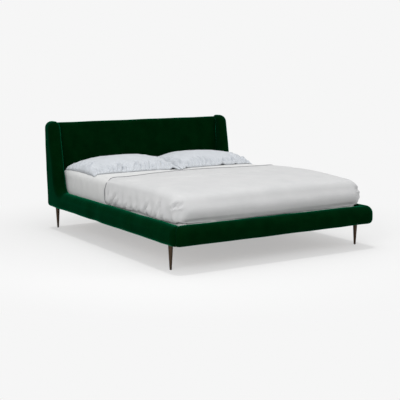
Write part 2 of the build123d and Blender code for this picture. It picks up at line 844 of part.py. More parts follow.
# Quilt: leaning sides that swell over the rails, a crowned top and a folded head edge
duvet_bottom = rail_top + rest_gap
duvet_foot_y = mattress_foot_y - duvet_foot_swell
duvet_head_y = pillow_back_y - pillow_depth - duvet_head_gap
duvet_half = mattress_width / 2 + duvet_swell
duvet_high = duvet_top - duvet_bottom
with BuildPart() as duvet:
    with BuildSketch(Plane.XY.offset(duvet_bottom)):
        with Locations((0, (duvet_foot_y + back_top_y) / 2)):
            RectangleRounded(2 * duvet_half, back_top_y - duvet_foot_y, duvet_corner_radius)
    extrude(amount=duvet_high, taper=duvet_lean)
    with BuildSketch(Plane.XZ):
        with BuildLine():
            edge_high = duvet_top - duvet_crown
            ThreePointArc((-duvet_half, edge_high), (0, duvet_top), (duvet_half, edge_high))
            Polyline(
                (duvet_half, edge_high),
                (duvet_half, duvet_bottom),
                (-duvet_half, duvet_bottom),
                (-duvet_half, edge_high),
            )
        make_face()
    extrude(amount=overall_length, both=True, mode=Mode.INTERSECT)
    fillet(duvet.faces().sort_by(Axis.Z)[-1].edges(), duvet_top_radius)
    fillet(duvet.faces().sort_by(Axis.Z)[0].edges(), duvet_under_radius)
    split(bisect_by=Plane.XZ.offset(-duvet_head_y), keep=Keep.TOP)
    head_face = duvet.faces().filter_by(Axis.Y).sort_by(Axis.Y)[-1]
    fold = head_face.edges().filter_by(lambda edge: edge.center().Z > duvet_bottom + rest_gap)
    fillet(fold, duvet_edge_radius)
    add(mattress_form(sheet_outset + duvet_gap), mode=Mode.SUBTRACT)
save(duvet.part, "duvet")


def pillow_form(centre_x, outset):
    """A pillow lofted along its width through crowned sections, grown by outset."""
    floor = mattress_top + sheet_outset + rest_gap + pillow_case_thickness + padding_gap
    middle_y = pillow_back_y - pillow_depth / 2
    with BuildPart() as form:
        for station, high, deep in zip(pillow_station_shares, pillow_height_shares, pillow_depth_shares):
            half = deep * pillow_depth / 2 + outset
            reach = station * (pillow_width / 2 + outset)
            crest = high * pillow_thickness + outset
            seam_low = pillow_lift - pillow_edge / 2 - outset
            seam_high = pillow_lift + pillow_edge / 2 + outset
            base = pillow_lift * (1 - high) - outset
            crest = max(base + crest, seam_high + outset + padding_gap)
            front_low = (middle_y - half, floor + seam_low)
            front_high = (middle_y - half, floor + seam_high)
            back_low = (middle_y + half, floor + seam_low)
            back_high = (middle_y + half, floor + seam_high)
            front_edge = (middle_y - half - pillow_bulge, floor + pillow_lift)
            back_edge = (middle_y + half + pillow_bulge, floor + pillow_lift)
            under = (middle_y, floor + min(base, seam_low - padding_gap))
            top = (middle_y + pillow_crest_share * pillow_depth, floor + crest)
            with BuildSketch(Plane.YZ.offset(centre_x + reach)):
                with BuildLine():
                    ThreePointArc(front_low, under, back_low)
                    ThreePointArc(back_low, back_edge, back_high)
                    ThreePointArc(back_high, top, front_high)
                    ThreePointArc(front_high, front_edge, front_low)
                make_face()
        loft()
    return form.part


# Two pillows side by side, each in its case
for name, side in sides.items():
    centre_x = side * (pillow_width + pillow_split) / 2
    pillow = pillow_form(centre_x, 0)
    save(pillow, f"pillow_{name}")
    with BuildPart() as pillow_case:
        add(pillow_form(centre_x, padding_gap + pillow_case_thickness))
        add(pillow_form(centre_x, padding_gap), mode=Mode.SUBTRACT)
    save(pillow_case.part, f"pillow_case_{name}")
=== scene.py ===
import math

import bmesh
import bpy
import numpy as np
from mathutils.bvhtree import BVHTree
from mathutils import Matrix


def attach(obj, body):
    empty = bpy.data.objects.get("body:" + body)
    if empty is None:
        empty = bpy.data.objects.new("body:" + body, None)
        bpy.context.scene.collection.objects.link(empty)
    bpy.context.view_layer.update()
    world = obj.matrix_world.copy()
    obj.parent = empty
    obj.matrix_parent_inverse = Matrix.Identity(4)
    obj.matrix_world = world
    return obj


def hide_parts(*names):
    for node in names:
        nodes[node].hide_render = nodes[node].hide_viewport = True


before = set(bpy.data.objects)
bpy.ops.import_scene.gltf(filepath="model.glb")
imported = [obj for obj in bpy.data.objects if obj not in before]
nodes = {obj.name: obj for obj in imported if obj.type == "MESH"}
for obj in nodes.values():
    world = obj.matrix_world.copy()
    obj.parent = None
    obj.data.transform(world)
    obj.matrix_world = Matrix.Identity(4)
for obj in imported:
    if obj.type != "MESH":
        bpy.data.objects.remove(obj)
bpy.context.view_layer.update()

scene = bpy.context.scene
mm = 0.001
# Waves of random direction that wave_noise adds up
wave_count = 24


# ---------------------------------------------------------------- camera
# The photograph's pinhole view: 8.7 degrees down, 32.2 degrees round from the foot end
camera_place = (-4.019, -6.363, 1.458)
camera_tilt = 81.27
camera_turn = -32.17
camera_lens = 83.3

lens = bpy.data.cameras.new("photo_view")
lens.lens = camera_lens
lens.sensor_width = 36
camera = bpy.data.objects.new("photo_view", lens)
camera.location = camera_place
camera.rotation_euler = (math.radians(camera_tilt), 0, math.radians(camera_turn))
scene.collection.objects.link(camera)
scene.camera = camera
scene.view_settings.view_transform = "Standard"


# ---------------------------------------------------------------- small helpers
def linear(code):
    """Linear colour of an sRGB hex value."""
    parts = [int(code[i : i + 2], 16) / 255 for i in (1, 3, 5)]
    return (*[c / 12.92 if c <= 0.04045 else ((c + 0.055) / 1.055) ** 2.4 for c in parts], 1)


def add_node(tree, kind, settings=None, inputs=None, links=None):
    """One node with its settings, its constant inputs and its links."""
    item = tree.nodes.new(kind)
    for key, value in (settings or {}).items():
        setattr(item, key, value)
    for key, value in (inputs or {}).items():
        item.inputs[key].default_value = value
    for key, socket in (links or {}).items():
        tree.links.new(socket, item.inputs[key])
    return item


def points_of(piece):
    """The vertices of a mesh piece as an array."""
    flat = np.zeros(len(piece.data.vertices) * 3)
    piece.data.vertices.foreach_get("co", flat)
    return flat.reshape(-1, 3)


def normals_of(piece):
    """The vertex normals of a mesh piece as an array."""
    flat = np.zeros(len(piece.data.vertices) * 3)
    piece.data.vertices.foreach_get("normal", flat)
    return flat.reshape(-1, 3)


def set_points(piece, points):
    """Moves the vertices of a mesh piece."""
    piece.data.vertices.foreach_set("co", np.ascontiguousarray(points, dtype=np.float32).ravel())
    piece.data.update()


def settle(piece):
    """Turns a piece and its modifiers into one plain mesh."""
    shown = piece.evaluated_get(bpy.context.evaluated_depsgraph_get())
    mesh = bpy.data.meshes.new_from_object(shown)
    piece.modifiers.clear()
    old = piece.data
    piece.data = mesh
    if old.users == 0:
        bpy.data.meshes.remove(old)
    mesh.polygons.foreach_set("use_smooth", [True] * len(mesh.polygons))
    return piece


def new_piece(name, verts, faces):
    """A smooth-shaded mesh piece from plain lists."""
    mesh = bpy.data.meshes.new(name)
    mesh.from_pydata([tuple(v) for v in verts], [], [tuple(f) for f in faces])
    mesh.validate()
    mesh.polygons.foreach_set("use_smooth", [True] * len(mesh.polygons))
    piece = bpy.data.objects.new(name, mesh)
    scene.collection.objects.link(piece)
    return piece


def soft_copy(name, sources, voxel):
    """The union of some CAD nodes as one evenly divided closed skin."""
    work = bmesh.new()
    for source in sources:
        work.from_mesh(nodes[source].data)
    bmesh.ops.remove_doubles(work, verts=work.verts, dist=0.01 * mm)
    mesh = bpy.data.meshes.new(name)
    work.to_mesh(mesh)
    work.free()
    piece = bpy.data.objects.new(name, mesh)
    scene.collection.objects.link(piece)
    even = piece.modifiers.new("even_skin", "REMESH")
    even.mode = "VOXEL"
    even.voxel_size = voxel
    even.use_smooth_shade = True
    return settle(piece)


def relax(piece, strength, rounds):
    """Evens out a skin and rounds its edges."""
    smooth = piece.modifiers.new("relaxed", "SMOOTH")
    smooth.factor = strength
    smooth.iterations = rounds
    return settle(piece)


def weigh(piece, name, weights):
    """Stores one weight a point under a name."""
    group = piece.vertex_groups.new(name=name)
    for index, weight in enumerate(weights):
        if weight > 0.01:
            group.add([index], float(weight), "REPLACE")
    return name


def stuff(piece, pressure, steps, cap, stiffness, bending, spare, loose, held):
    """Swells a closed skin as cloth under pressure, each point moving by cap at most.

    The cloth is cut larger by the share spare where it is loose, and doesn't move where it is held.
    """
    start = points_of(piece)
    cloth = piece.modifiers.new("stuffing", "CLOTH")
    rule = cloth.settings
    rule.quality = 5
    rule.mass = 0.3
    rule.use_pressure = True
    rule.uniform_pressure_force = pressure
    rule.tension_stiffness = stiffness
    rule.compression_stiffness = stiffness
    rule.shear_stiffness = stiffness / 2
    rule.bending_stiffness = bending
    rule.effector_weights.gravity = 0
    rule.vertex_group_shrink = weigh(piece, "loose", loose)
    rule.shrink_min = 0
    rule.shrink_max = -spare
    rule.vertex_group_mass = weigh(piece, "held", held)
    cloth.collision_settings.use_collision = False
    cloth.point_cache.frame_start = 1
    cloth.point_cache.frame_end = steps
    for step in range(1, steps + 1):
        scene.frame_set(step)
    settle(piece)
    scene.frame_set(1)
    piece.vertex_groups.clear()
    moved = points_of(piece) - start
    far = np.linalg.norm(moved, axis=1, keepdims=True)
    set_points(piece, start + moved * np.minimum(1, cap / np.maximum(far, 1e-9)))
    return piece


def wave_noise(points, size, seed):
    """Smooth random heights of about -1 to 1, with bumps of a given size."""
    random = np.random.default_rng(seed)
    total = np.zeros(len(points))
    for _ in range(wave_count):
        turn = random.normal(size=3)
        turn *= random.uniform(0.6, 1.4) * 2 * math.pi / (size * np.linalg.norm(turn))
        total += np.sin(points @ turn + random.uniform(0, 2 * math.pi))
    return total / math.sqrt(wave_count / 2)


def ramp(value, low, high):
    """0 below low, 1 above high and a smooth step between."""
    share = np.clip((value - low) / (high - low), 0, 1)
    return share * share * (3 - 2 * share)


def tube(name, path, radius):
    """A round cord along an open path, as a mesh."""
    curve = bpy.data.curves.new(name, "CURVE")
    curve.dimensions = "3D"
    spline = curve.splines.new("POLY")
    spline.points.add(len(path) - 1)
    for point, place in zip(spline.points, path):
        point.co = (*place, 1)
    curve.bevel_depth = radius
    curve.bevel_resolution = 2
    curve.use_fill_caps = True
    piece = bpy.data.objects.new(name, curve)
    scene.collection.objects.link(piece)
    shown = piece.evaluated_get(bpy.context.evaluated_depsgraph_get())
    mesh = bpy.data.meshes.new_from_object(shown)
    bpy.data.objects.remove(piece)
    bpy.data.curves.remove(curve)
    mesh.name = name
    mesh.polygons.foreach_set("use_smooth", [True] * len(mesh.polygons))
    piece = bpy.data.objects.new(name, mesh)
    scene.collection.objects.link(piece)
    return piece


def row_tree():
    """Geometry nodes that set small bars along a path at an even pitch."""
    tree = bpy.data.node_groups.new("row_along_path", "GeometryNodeTree")
    for name, kind in (
        ("Path", "NodeSocketGeometry"),
        ("Pitch", "NodeSocketFloat"),
        ("Bar Size", "NodeSocketVector"),
        ("Bar Material", "NodeSocketMaterial"),
    ):
        tree.interface.new_socket(name, in_out="INPUT", socket_type=kind)
    tree.interface.new_socket("Row", in_out="OUTPUT", socket_type="NodeSocketGeometry")
    given = add_node(tree, "NodeGroupInput").outputs
    path = add_node(tree, "GeometryNodeMeshToCurve", None, None, {"Mesh": given["Path"]})
    spread = {"Curve": path.outputs[0], "Length": given["Pitch"]}
    places = add_node(tree, "GeometryNodeCurveToPoints", {"mode": "LENGTH"}, None, spread)
    bar = add_node(tree, "GeometryNodeMeshCube", None, None, {"Size": given["Bar Size"]})
    set_out = {
        "Points": places.outputs["Points"],
        "Instance": bar.outputs["Mesh"],
        "Rotation": places.outputs["Rotation"],
    }
    bars = add_node(tree, "GeometryNodeInstanceOnPoints", None, None, set_out)
    real = add_node(tree, "GeometryNodeRealizeInstances", None, None, {0: bars.outputs[0]})
    coat = {"Geometry": real.outputs[0], "Material": given["Bar Material"]}
    dressed = add_node(tree, "GeometryNodeSetMaterial", None, None, coat)
    add_node(tree, "NodeGroupOutput", None, None, {"Row": dressed.outputs[0]})
    return tree


rows = row_tree()


def row_along(name, path, pitch, size, material, closed=False):
    """Small bars along a path, such as staples or stitches."""
    links = [(i, i + 1) for i in range(len(path) - 1)]
    if closed:
        links.append((len(path) - 1, 0))
    mesh = bpy.data.meshes.new(name)
    mesh.from_pydata(path, links, [])
    piece = bpy.data.objects.new(name, mesh)
    scene.collection.objects.link(piece)
    along = piece.modifiers.new("row_along_path", "NODES")
    along.node_group = rows
    for key, value in (("Pitch", pitch), ("Bar Size", size), ("Bar Material", material)):
        along[rows.interface.items_tree[key].identifier] = value
    return settle(piece)


# ---------------------------------------------------------------- finishes
# A wave texture of scale 1 repeats after this many metres
wave_spacing = 0.314


def finish(name, colour, constants):
    """A material with one shader, its plain constants, and the piece's own coordinates."""
    material = bpy.data.materials.new(name)
    material.use_nodes = True
    tree = material.node_tree
    shader = tree.nodes["Principled BSDF"]
    shader.inputs["Base Color"].default_value = linear(colour)
    for key, value in constants.items():
        shader.inputs[key].default_value = value
    place = add_node(tree, "ShaderNodeTexCoord").outputs["Object"]
    return material, tree, shader, place


def placed(tree, place, scale=(1, 1, 1), turn=0):
    """Coordinates scaled and turned about the upright axis."""
    change = {"Scale": scale, "Rotation": (0, 0, turn)}
    return add_node(tree, "ShaderNodeMapping", None, change, {"Vector": place}).outputs[0]


def noise(tree, place, size, detail, rough=0.5, distortion=0.0):
    """Soft noise with features of a given size."""
    look = {"Scale": 1 / size, "Detail": detail, "Roughness": rough, "Distortion": distortion}
    return add_node(tree, "ShaderNodeTexNoise", None, look, {"Vector": place}).outputs["Fac"]


def cells(tree, place, size, uneven):
    """The distance to the middle of cells of a given size."""
    look = {"Scale": 1 / size, "Randomness": uneven}
    item = add_node(tree, "ShaderNodeTexVoronoi", None, look, {"Vector": place})
    return item.outputs["Distance"]


def maths(tree, operation, *terms):
    """A maths node whose terms are numbers or sockets."""
    numbers = {i: term for i, term in enumerate(terms) if isinstance(term, (int, float))}
    sockets = {i: term for i, term in enumerate(terms) if i not in numbers}
    return add_node(tree, "ShaderNodeMath", {"operation": operation}, numbers, sockets).outputs[0]


def remapped(tree, value, limits):
    """A value spread over other limits."""
    return add_node(tree, "ShaderNodeMapRange", None, limits, {"Value": value}).outputs["Result"]


def crossed_waves(tree, place, pitch, distortion, detail):
    """Two sets of waves at right angles, multiplied."""
    both = []
    for direction in ("X", "Y"):
        kind = {"bands_direction": direction, "wave_profile": "SIN"}
        look = {"Scale": wave_spacing / pitch, "Distortion": distortion, "Detail": detail}
        wave = add_node(tree, "ShaderNodeTexWave", kind, look, {"Vector": place})
        both.append(wave.outputs["Fac"])
    return maths(tree, "MULTIPLY", *both)


def two_tone(tree, shader, factor, dark, light):
    """Colours the shader between two tones by a factor."""
    mix = add_node(
        tree,
        "ShaderNodeMix",
        {"data_type": "RGBA"},
        {"A": linear(dark), "B": linear(light)},
        {"Factor": factor},
    )
    tree.links.new(mix.outputs["Result"], shader.inputs["Base Color"])


def relief(tree, shader, height, depth, strength):
    """Raises the surface by height times depth, in metres."""
    look = {"Strength": strength, "Distance": depth}
    bump = add_node(tree, "ShaderNodeBump", None, look, {"Height": height})
    tree.links.new(bump.outputs["Normal"], shader.inputs["Normal"])


def velvet():
    """Cotton velvet: a short dense pile, dark where it faces the eye and bright at its edges."""
    look = {
        "Roughness": 0.9,
        "Specular IOR Level": 0.0,
        "Sheen Weight": 1.0,
        "Sheen Roughness": 0.3,
        "Sheen Tint": linear("#1aa878"),
    }
    material, tree, shader, place = finish("green_velvet", "#002a12", look)
    # Patches about 90 mm wide where the pile leans another way
    patches = noise(tree, place, 90 * mm, 3, 0.55)
    # The pile itself, drawn 4 mm coarse so that it shows
    pile = noise(tree, place, 4 * mm, 2, 0.6)
    both = maths(tree, "MULTIPLY_ADD", pile, 0.25, patches)
    shade = remapped(tree, both, {"From Min": 0.4, "From Max": 0.85})
    two_tone(tree, shader, shade, "#011906", "#02210a")
    relief(tree, shader, both, 0.6 * mm, 0.5)
    return material


def woven_cotton(name, dark, light, thread, soft_size, depth):
    """Plain woven cotton: matt, pale, with threads crossing and soft creases."""
    look = {
        "Roughness": 0.85,
        "Specular IOR Level": 0.25,
        "Sheen Weight": 0.1,
        "Sheen Roughness": 0.5,
        "Sheen Tint": linear("#ffffff"),
    }
    material, tree, shader, place = finish(name, light, look)
    weave = crossed_waves(tree, place, thread, 0.3, 1)
    soft = noise(tree, place, soft_size, 3)
    height = maths(tree, "MULTIPLY_ADD", weave, 0.06, soft)
    two_tone(tree, shader, height, dark, light)
    relief(tree, shader, height, depth, 0.6)
    return material


def timber(name, dark, light, stretch, grain, rough):
    """Planed pine, poplar ply or beech: long grain lines, a dull gloss and darker late wood."""
    material, tree, shader, place = finish(name, light, {"Roughness": rough, "IOR": 1.5})
    rings = noise(tree, placed(tree, place, stretch), grain, 4, 0.6, 0.6)
    two_tone(tree, shader, rings, dark, light)
    relief(tree, shader, rings, 0.25 * mm, 0.5)
    return material


def metal(name, colour, rough, worn, grain, stretch=(1, 1, 1), metallic=1.0):
    """Coated or bare metal with a fine uneven finish."""
    material, tree, shader, place = finish(name, colour, {"Metallic": metallic})
    fine = noise(tree, placed(tree, place, stretch), grain, 3, 0.6)
    two_tone(tree, shader, fine, colour, worn)
    uneven = remapped(tree, fine, {"To Min": rough - 0.08, "To Max": rough + 0.08})
    tree.links.new(uneven, shader.inputs["Roughness"])
    relief(tree, shader, fine, 0.08 * mm, 0.4)
    return material


def quilted_ticking(name, dark, light, pitch):
    """Knitted mattress ticking, stitched down in a diamond pattern."""
    look = {"Roughness": 0.8, "Sheen Weight": 0.15}
    material, tree, shader, place = finish(name, light, look)
    diamonds = crossed_waves(tree, placed(tree, place, turn=math.radians(45)), pitch, 0, 2)
    knit = cells(tree, place, 4 * mm, 0.4)
    height = maths(tree, "MULTIPLY_ADD", knit, 0.05, diamonds)
    two_tone(tree, shader, height, dark, light)
    relief(tree, shader, height, 4 * mm, 0.7)
    return material


def moulded_plastic(name, dark, light):
    """Moulded nylon: black, half matt, with a fine spark-eroded grain."""
    material, tree, shader, place = finish(name, dark, {"Roughness": 0.45, "IOR": 1.53})
    grain = noise(tree, place, 1.5 * mm, 2)
    two_tone(tree, shader, grain, dark, light)
    relief(tree, shader, grain, 0.1 * mm, 0.3)
    return material


def spunbond(name, dark, light):
    """Spunbonded lining cloth: black, thin, pressed with small dimples."""
    look = {"Roughness": 0.9, "Specular IOR Level": 0.2}
    material, tree, shader, place = finish(name, dark, look)
    dimples = cells(tree, place, 5 * mm, 0.15)
    two_tone(tree, shader, dimples, dark, light)
    relief(tree, shader, dimples, 0.5 * mm, 0.5)
    return material


green_velvet = velvet()
# Cottons: two tones, then the pitch of the threads, the width of soft creases and their depth
sheet_cotton = woven_cotton(
    "cotton_percale_sheet", "#d1d2d2", "#e1e1e0", 4 * mm, 120 * mm, 2 * mm
)
quilt_cotton = woven_cotton(
    "washed_cotton_quilt", "#c4c5c6", "#d5d5d5", 5 * mm, 160 * mm, 2.5 * mm
)
pillow_cotton = woven_cotton(
    "cotton_sateen_case", "#c0c4c9", "#d2d6db", 4 * mm, 100 * mm, 2 * mm
)
# The piping cord is real, but its grey is darker than the quilt as painted shade: it stands in for
# the shadowed line along the quilt's head edge and sides
piping_cotton_painted_shade = woven_cotton(
    "grey_piping_cord_painted_shade", "#77787b", "#929396", 3 * mm, 50 * mm, 0.5 * mm
)
pillow_ticking = woven_cotton(
    "downproof_ticking", "#cfcbc0", "#e4e0d6", 5 * mm, 100 * mm, 1 * mm
)
# Mattress ticking stitched in 60 mm diamonds
mattress_ticking = quilted_ticking("knitted_mattress_ticking", "#c9ccd1", "#eceef0", 60 * mm)
# Timbers: two tones, how the grain is stretched, its width and the roughness
pine = timber("planed_pine", "#b58a55", "#dcb883", (1, 0.06, 1), 12 * mm, 0.6)
plywood = timber("poplar_plywood", "#b59a6c", "#d9c49b", (1, 1, 0.08), 20 * mm, 0.7)
beech = timber("bent_beech_slat", "#c89a68", "#e2bd8c", (0.05, 1, 1), 9 * mm, 0.5)
# Metals: tone, roughness, worn tone and the width of the grain
bronze = metal("dark_bronze_leg", "#3f332a", 0.36, "#665546", 6 * mm, (1, 1, 0.08))
black_steel = metal("powder_coated_steel", "#15161a", 0.55, "#24262b", 3 * mm, metallic=0.0)
zinc = metal("zinc_plated_steel", "#9ea3a8", 0.34, "#c4c8cc", 5 * mm)
black_plastic = moulded_plastic("black_nylon", "#101113", "#1d1f22")
lining_cloth = spunbond("black_lining_cloth", "#0e0f11", "#1c1e21")


# ---------------------------------------------------------------- CAD nodes that keep their shape
kept = {
    "side_beam_left": (pine, "rail_timber"),
    "side_beam_right": (pine, "rail_timber"),
    "foot_beam": (pine, "rail_timber"),
    "head_rail": (pine, "rail_timber"),
    "ledger_left": (pine, "rail_timber"),
    "ledger_right": (pine, "rail_timber"),
    "wing_board_left": (plywood, "board"),
    "wing_board_right": (plywood, "board"),
    "headboard_board": (plywood, "board"),
    "slats_left": (beech, "slat_wood"),
    "slats_right": (beech, "slat_wood"),
    "slat_caps_left": (black_plastic, "black_plastic"),
    "slat_caps_right": (black_plastic, "black_plastic"),
    "slat_caps_centre": (black_plastic, "black_plastic"),
    "centre_beam": (black_steel, "black_steel"),
    "beam_hangers": (black_steel, "black_steel"),
    "centre_leg": (black_steel, "black_steel"),
    "centre_leg_insert": (black_plastic, "black_plastic"),
    "levelling_foot": (black_plastic, "black_plastic"),
    "corner_brackets": (black_steel, "black_steel"),
    "leg_plates": (black_steel, "black_steel"),
    "bracket_bolts": (zinc, "zinc"),
    "leg_plate_screws": (zinc, "zinc"),
    "leg_studs": (zinc, "zinc"),
}
for corner in ("foot_left", "foot_right", "head_left", "head_right"):
    kept[f"leg_{corner}"] = (bronze, "leg_bronze")
    kept[f"leg_glide_{corner}"] = (black_plastic, "black_plastic")
for name, (material, _) in kept.items():
    nodes[name].data.materials.clear()
    nodes[name].data.materials.append(material)


def dress(piece, material, body):
    """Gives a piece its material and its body."""
    piece.data.materials.clear()
    piece.data.materials.append(material)
    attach(piece, body)
    return piece


# ---------------------------------------------------------------- velvet surround
rail_top = 326 * mm
rail_inner_x = 810 * mm
inner_roll = 34 * mm
beam_inner_x = 812.3 * mm
foot_inner_y = -998 * mm
foot_beam_y = -1000.3 * mm
# Between these heights the timber shows inside the rail
window_low = 188 * mm
window_high = 272 * mm
underside = 186.3 * mm
board_end_x = rail_inner_x - 0.6 * mm
# The raked back: its y at the height where it starts, and how far it leans over its height
back_low_y = 1.072
back_low_z = 0.186
back_lean = 0.026
back_height = 0.734
lining_half = 773 * mm
lining_low = 220 * mm
lining_high = 873 * mm
velvet_voxel = 7 * mm
headboard_voxel = 8 * mm
# Width of the soft lumps in the padding
velvet_lumps = 250 * mm


def back_y(z):
    """Place of the raked back at height z."""
    return back_low_y + back_lean * (z - back_low_z) / back_height


def clear_inner_window(points, across, face, behind):
    """Draws the skin back where the timber shows inside the rail."""
    inside = (points[:, 2] > window_low) & (points[:, 2] < window_high) & (across < face + 4 * mm)
    return np.where(inside, np.maximum(across, behind), across)


def shape_side(points, sign):
    """Keeps a side cover off the mattress and off the bare timber."""
    across = np.maximum(sign * points[:, 0], rail_inner_x)
    across = clear_inner_window(points, across, rail_inner_x, beam_inner_x + 0.5 * mm)
    points[:, 0] = sign * across


def shape_foot(points):
    """Keeps the foot cover off the mattress and off the bare timber."""
    across = np.maximum(-points[:, 1], -foot_inner_y)
    points[:, 1] = -clear_inner_window(points, across, -foot_inner_y, -foot_beam_y + 0.5 * mm)


def pulled(values, aim, chosen):
    """Values of which the chosen ones go most of the way to an aim."""
    return np.where(chosen, 0.15 * values + 0.85 * aim, values)


def shape_headboard(points):
    """Keeps the cover outside the board's back, ends and lower edge, and under the lining."""
    points[:, 0] = np.clip(points[:, 0], -board_end_x, board_end_x)
    at_back = points[:, 1] > back_y(points[:, 2]) - 8 * mm
    framed = (
        (np.abs(points[:, 0]) < lining_half)
        & (points[:, 2] > lining_low)
        & (points[:, 2] < lining_high)
    )
    edge = at_back & ~framed
    flush = back_y(points[:, 2]) - 0.2 * mm
    points[:, 1] = pulled(points[:, 1], flush, edge & (points[:, 1] < flush))
    across = np.abs(points[:, 0])
    across = pulled(across, board_end_x, edge & (across > board_end_x - 10 * mm))
    points[:, 0] = np.sign(points[:, 0]) * across
    points[:, 2] = pulled(points[:, 2], underside, edge & (points[:, 2] < underside + 8 * mm))
    sunk = back_y(points[:, 2]) - 3 * mm
    points[:, 1] = np.where(at_back & framed, np.minimum(points[:, 1], sunk), points[:, 1])


surround = {}
for side in ("left", "right"):
    surround[f"velvet_side_{side}"] = soft_copy(
        f"velvet_side_{side}",
        [f"side_cover_{side}", f"side_padding_{side}", f"side_beam_{side}", f"wing_board_{side}"],
        velvet_voxel,
    )
surround["velvet_foot"] = soft_copy(
    "velvet_foot", ["foot_cover", "foot_padding", "foot_beam"], velvet_voxel
)
surround["velvet_headboard"] = soft_copy(
    "velvet_headboard",
    ["headboard_cover", "headboard_padding", "headboard_board", "headboard_lining"],
    headboard_voxel,
)

for name, piece in surround.items():
    relax(piece, 0.5, 8)
    points = points_of(piece)
    uneven = wave_noise(points, velvet_lumps, 11)[:, None]
    points += normals_of(piece) * (1.2 + 0.8 * uneven) * mm
    points[:, 2] = np.maximum(points[:, 2], underside)
    if name == "velvet_foot":
        shape_foot(points)
    elif name == "velvet_headboard":
        shape_headboard(points)
    else:
        shape_side(points, -1 if name.endswith("left") else 1)
    set_points(piece, points)
    dress(piece, green_velvet, "bed_frame")
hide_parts("side_cover_left", "side_padding_left")
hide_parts("side_cover_right", "side_padding_right")
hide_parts("foot_cover", "foot_padding")
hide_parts("headboard_cover", "headboard_padding")

# Back lining: one sheet, stapled round its edge
lining_columns, lining_rows = 78, 33
verts = []
for row in range(lining_rows + 1):
    z = lining_low + (lining_high - lining_low) * row / lining_rows
    for column in range(lining_columns + 1):
        x = -lining_half + 2 * lining_half * column / lining_columns
        verts.append((x, back_y(z) - 0.8 * mm, z))
verts = np.array(verts)
from_end = lining_half - np.abs(verts[:, 0])
from_edge = np.minimum(verts[:, 2] - lining_low, lining_high - verts[:, 2])
slack = ramp(np.minimum(from_end, from_edge), 0, 60 * mm)
verts[:, 1] += 0.3 * mm * wave_noise(verts, 180 * mm, 5) * slack
faces = []
for row in range(lining_rows):
    for column in range(lining_columns):
        low = row * (lining_columns + 1) + column
        high = low + lining_columns + 1
        faces.append((high, high + 1, low + 1, low))
back_lining = new_piece("back_lining", verts, faces)
thick = back_lining.modifiers.new("cloth_thickness", "SOLIDIFY")
thick.thickness = 1.2 * mm
thick.offset = 0
settle(back_lining)
dress(back_lining, lining_cloth, "bed_frame")
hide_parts("headboard_lining")

# Staples round the lining: their distance from its edge, their pitch and their size
staple_inset = 8 * mm
staple_pitch = 25 * mm
staple_size = (1.2 * mm, 1.2 * mm, 10 * mm)
staple_x = lining_half - staple_inset
staple_low, staple_high = lining_low + staple_inset, lining_high - staple_inset
corners = (
    (-staple_x, staple_low),
    (staple_x, staple_low),
    (staple_x, staple_high),
    (-staple_x, staple_high),
)
path = []
for (x0, z0), (x1, z1) in zip(corners, corners[1:] + corners[:1]):
    for share in np.linspace(0, 1, 24, endpoint=False):
        z = float(z0 + (z1 - z0) * share)
        path.append((float(x0 + (x1 - x0) * share), back_y(z) + 0.2 * mm, z))
staples = row_along("lining_staples", path, staple_pitch, staple_size, zinc, closed=True)
dress(staples, zinc, "bed_frame")


# ---------------------------------------------------------------- mattress and sheet
# The mattress as a block with rounded edges: its middle, the half size of its core, its radius
mattress_middle = (0, 5.7 * mm, 400.8 * mm)
mattress_core = (750 * mm, 950 * mm, 66 * mm)
mattress_round = 50 * mm

mattress = soft_copy("sprung_mattress", ["mattress"], 16 * mm)
relax(mattress, 0.5, 8)
points = points_of(mattress)
# The sides are drawn in a little between the borders
border = ramp(np.abs(points[:, 2] - mattress_middle[2]), 60 * mm, 100 * mm)
points -= normals_of(mattress) * (1.5 * mm * (1 - border))[:, None]
set_points(mattress, points)
dress(mattress, mattress_ticking, "mattress")
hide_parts("mattress")

# The sheet is open below, where it wraps under the mattress
hem_z = 0.29
hem_x = 0.752
hem_foot_y, hem_head_y = -0.946, 0.957
fitted = soft_copy("fitted_cotton_sheet", ["mattress"], 12 * mm)
relax(fitted, 0.5, 10)
work = bmesh.new()
work.from_mesh(fitted.data)
gone = []
for vertex in work.verts:
    x, y, z = vertex.co
    if z < hem_z and abs(x) < hem_x and hem_foot_y < y < hem_head_y:
        gone.append(vertex)
bmesh.ops.delete(work, geom=gone, context="VERTS")
work.to_mesh(fitted.data)
work.free()
points = points_of(fitted)
normal = normals_of(fitted)
upright = 1 - np.abs(normal[:, 2])
# Soft upright folds, 110 mm wide
folds = np.clip(0.5 + 0.5 * wave_noise(points * np.array((1, 1, 0.35)), 110 * mm, 21), 0, 1.4)
points += normal * (1.4 * mm + 2.2 * mm * folds * upright + 0.5 * mm * folds)[:, None]
set_points(fitted, points)
thick = fitted.modifiers.new("cloth_thickness", "SOLIDIFY")
thick.thickness = 1.0 * mm
thick.offset = 1
settle(fitted)
dress(fitted, sheet_cotton, "mattress")
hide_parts("fitted_sheet")


# ---------------------------------------------------------------- quilt
# Where the CAD's head edge lies, and where the top starts to be pulled to the drawn one
quilt_head_y = 163.7 * mm
head_pull_y = -0.25
